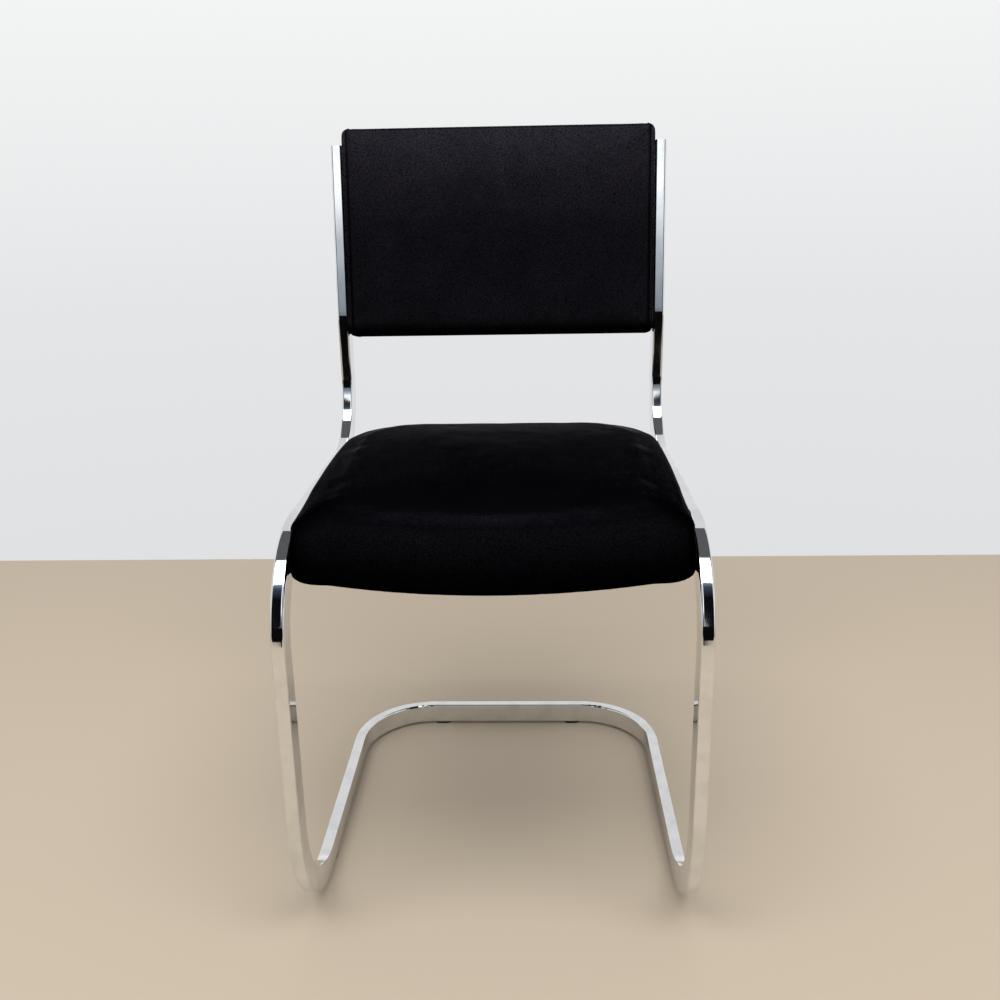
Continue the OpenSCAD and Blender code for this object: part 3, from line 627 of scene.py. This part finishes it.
def back_shell():
    rings = upright_rings(back_outline(0), [
        [1, -0.0010, back_hem], [1, -0.0002, back_hem - 0.0003], [1, 0, back_hem - 0.0016],
        [1, 0, -0.004], [1, 0, -0.0145], [1, -0.0005, -0.017], [1, -0.002, back_face + 0.0025],
        [1, -0.005, back_face],
        [1, -0.012, back_face - 0.25 * back_crown], [0.82, 0, back_face - 0.5 * back_crown],
        [0.55, 0, back_face - 0.85 * back_crown], [0.28, 0, back_face - 0.97 * back_crown],
    ], 5)
    return skinned("back_cushion", rings, (0, back_hem, 0), (0, back_face - back_crown, 0))


def between_uprights(mesh):
    """Presses the back's sides flat against the gap beside the uprights."""
    for v in mesh.vertices:
        v.co.x = min(max(v.co.x, -back_half), back_half)


def sewn(mesh):
    """Sinks the two seams down the front and ruffles the cover at its lower corners."""
    seam_depth, seam_width, seam_wander = 0.0026, 0.0022, 0.0006
    ruffle_depth, ruffle_reach, ruffles_round = 0.0018, 0.022, 11
    for v in mesh.vertices:
        if v.co.y < front_begins:
            off_seam = abs(v.co.x) - (back_half - seam_in) + seam_wander * sin(90 * v.co.z)
            v.co.y += seam_depth * exp(-(off_seam / seam_width) ** 2)
            across, up = back_half - abs(v.co.x), back_half_height + v.co.z
            near_corner = exp(-(across ** 2 + up ** 2) / ruffle_reach ** 2)
            unlike_sides = 2 if v.co.x > 0 else 0
            v.co.y += ruffle_depth * near_corner * sin(ruffles_round * atan2(up, across) + unlike_sides)


def creased(mesh, start, end, depth, width):
    """Presses a short crease into the front of the back, between two points [across, up]."""
    start, run = np.array(start), np.array(end) - np.array(start)
    for v in mesh.vertices:
        if v.co.y < front_begins:
            place = np.array((v.co.x, v.co.z)) - start
            nearest = min(max(float(place @ run / (run @ run)), 0), 1)
            v.co.y += depth * exp(-(float(np.linalg.norm(place - nearest * run)) / width) ** 2)


# The back's stops paint light and shade by height: dark at the lower edge, palest at the top. Its seams
# get a painted seam shadow.
back_velvet = black_velvet("back_velvet", 0.0006, 0.620, 0.888, [
    (0, 0.03), (0.04, 0.05), (0.08, 0.26), (0.40, 0.23), (0.55, 0.27), (0.70, 0.41), (0.85, 0.63),
    (1, 0.84),
], back_half - seam_in)
back_cushion = back_shell()
# It is filled face up, as it lies on the bench
back_cushion.data.transform(Matrix.Rotation(radians(-90), 4, "X"))
filled(back_cushion, voxel=0.004, least=0.0025, most=0.0055, held_below=-back_hem + 0.003,
       square_from=-back_half_height)
back_cushion.data.transform(Matrix.Rotation(radians(90), 4, "X"))
between_uprights(back_cushion.data)
sewn(back_cushion.data)
creased(back_cushion.data, (0.186, -0.072), (0.203, -0.040), depth=0.0012, width=0.0028)
creased(back_cushion.data, (0.188, 0.112), (0.206, 0.130), depth=0.0014, width=0.0030)
creased(back_cushion.data, (-0.206, 0.127), (-0.194, 0.116), depth=0.0009, width=0.0026)
back_cushion.data.transform(back_stand)
back_cushion.data.materials.append(back_velvet)
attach(back_cushion, "root")
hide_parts("back_foam", "back_cover")


# The rear board: a thin board, wrapped in the same velvet over a little wadding, that closes
# the back over the stapled hem.
def rear_board():
    board_inset, board_thickness = 0.006, 0.0025
    rear = back_hem + board_thickness
    rings = upright_rings(back_outline(board_inset), [
        [1, -0.0010, back_hem], [1, -0.0001, back_hem + 0.0006], [1, 0, back_hem + 0.0014],
        [1, -0.0006, rear - 0.0003], [1, -0.0022, rear], [0.9, 0, rear + 0.0004],
        [0.6, 0, rear + 0.0009], [0.3, 0, rear + 0.0011],
    ], 3)
    board = skinned("velvet_rear_board", rings, (0, back_hem, 0), (0, rear + 0.0012, 0))
    board.data.flip_normals()
    return board


velvet_rear_board = rear_board()
velvet_rear_board.data.transform(back_stand)
velvet_rear_board.data.materials.append(back_velvet)
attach(velvet_rear_board, "root")
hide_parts("back_rear_board")


# The studio: a plain pale floor in a white room, and one wide soft light in front of the
# chair and above it. Cards that only mirrors see give the chrome its bands: dark screens
# behind the camera, with a window between them, and a grey one for the ceiling.
def plain(name, colour, roughness):
    material, nodes, links, shader = new_finish(name)
    shader.inputs["Base Color"].default_value = (*colour, 1)
    shader.inputs["Roughness"].default_value = roughness
    return material


def glowing(name, low, high, stops):
    """A card that only glows, by stops of (place, red, green, blue) from low to high."""
    material, nodes, links, shader = new_finish(name)
    shader.inputs["Base Color"].default_value = (0, 0, 0, 1)
    shader.inputs["Specular IOR Level"].default_value = 0
    place = nodes.new("ShaderNodeTexCoord")
    split = nodes.new("ShaderNodeSeparateXYZ")
    links.new(place.outputs["Object"], split.inputs["Vector"])
    height = between(nodes, links, split.outputs["Z"], 0, 1, start=low, end=high)
    links.new(shaded(nodes, links, height, stops), shader.inputs["Emission Color"])
    shader.inputs["Emission Strength"].default_value = 1.3
    return material


def card(name, corners, material):
    """A flat card through four corners."""
    mesh = bpy.data.meshes.new(name)
    mesh.from_pydata(corners, [], [(0, 1, 2, 3)])
    mesh.materials.append(material)
    piece = bpy.data.objects.new(name, mesh)
    bpy.context.scene.collection.objects.link(piece)
    return piece


def mirrored(piece):
    """Lets only mirrors see a card."""
    piece.visible_camera = False
    piece.visible_diffuse = False
    piece.visible_shadow = False


def screen(name, material, y, left, right, low, high):
    """An upright card behind the camera, seen only in mirrors."""
    mirrored(card(name, [(left, y, low), (right, y, low), (right, y, high), (left, y, high)], material))


floor_reach, floor_back = 8, 1
card("floor", [(-floor_reach, -floor_reach, 0), (floor_reach, -floor_reach, 0),
               (floor_reach, floor_back, 0), (-floor_reach, floor_back, 0)],
     plain("pale_floor", colour=(0.46, 0.385, 0.295), roughness=0.8))

window_left, window_right, window_sill, room_height = -0.755, 0.58, 0.76, 3.5
screens_y, window_y = -2.4, -2.45
dark = glowing("dark_screen", 0, room_height, [
    (0, 0.002, 0.002, 0.002), (0.62, 0.003, 0.003, 0.004), (0.84, 0.035, 0.050, 0.070),
    (1, 0.22, 0.27, 0.33),
])
daylight = glowing("window", 0.95, 1.45, [
    (0, 0.16, 0.18, 0.21), (0.6, 0.42, 0.46, 0.50), (1, 0.95, 0.98, 1),
])
screen("screen_low", dark, screens_y, window_left, window_right, 0, window_sill)
screen("screen_left", dark, screens_y, -2.6, window_left, 0.2, room_height)
screen("screen_right", dark, screens_y, window_right, 2.6, 0.2, room_height)
screen("window", daylight, window_y, window_left, window_right, window_sill, room_height)
ceiling_height = 2.4
mirrored(card("ceiling", [(-3, -0.5, ceiling_height), (3, -0.5, ceiling_height),
                          (3, 1, ceiling_height), (-3, 1, ceiling_height)],
              glowing("grey_ceiling", 0, 5, [(0, 0.085, 0.085, 0.09), (1, 0.085, 0.085, 0.09)])))

lamp = bpy.data.lights.new("soft_light", "AREA")
lamp.shape = "RECTANGLE"
lamp.size = 4.0
lamp.size_y = 1.5
lamp.energy = 105
light = bpy.data.objects.new("soft_light", lamp)
bpy.context.scene.collection.objects.link(light)
light.location = (0, -1.45, 3.3)
light.rotation_euler = (radians(12), 0, 0)
light.visible_camera = False

world = bpy.data.worlds.new("white_room")
world.use_nodes = True
nodes, links = world.node_tree.nodes, world.node_tree.links
way = nodes.new("ShaderNodeTexCoord")
split = nodes.new("ShaderNodeSeparateXYZ")
links.new(way.outputs["Generated"], split.inputs["Vector"])
upwards = between(nodes, links, split.outputs["Z"], 0, 1, start=-1, end=1)
links.new(shaded(nodes, links, upwards, [
    (0.0, 0.77, 0.77, 0.78), (0.32, 0.74, 0.745, 0.755), (0.45, 0.78, 0.785, 0.795),
    (0.58, 0.90, 0.905, 0.91), (0.66, 0.77, 0.77, 0.77), (1.0, 0.77, 0.77, 0.77),
]), nodes["Background"].inputs["Color"])
bpy.context.scene.world = world
bpy.context.scene.view_settings.view_transform = "Standard"


# The camera stands where the photograph was taken from: a little to the right, above the
# back, looking down and slightly to the left, held almost level.
pitch = radians(17.20)
yaw = radians(1.91)
roll = radians(-1.02)
forward = Vector((-sin(yaw) * cos(pitch), cos(yaw) * cos(pitch), -sin(pitch)))
level = Vector((cos(yaw), sin(yaw), 0))
rise = level.cross(forward)
right = cos(roll) * level + sin(roll) * rise
up = cos(roll) * rise - sin(roll) * level
lens = bpy.data.cameras.new("photo_camera")
lens.sensor_width = 36
lens.lens = 36.324
camera = bpy.data.objects.new("photo_camera", lens)
bpy.context.scene.collection.objects.link(camera)
camera.matrix_world = (Matrix.Translation((0.0422, -1.18057, 0.8144))
                       @ Matrix((right, up, -forward)).transposed().to_4x4())
bpy.context.scene.camera = camera
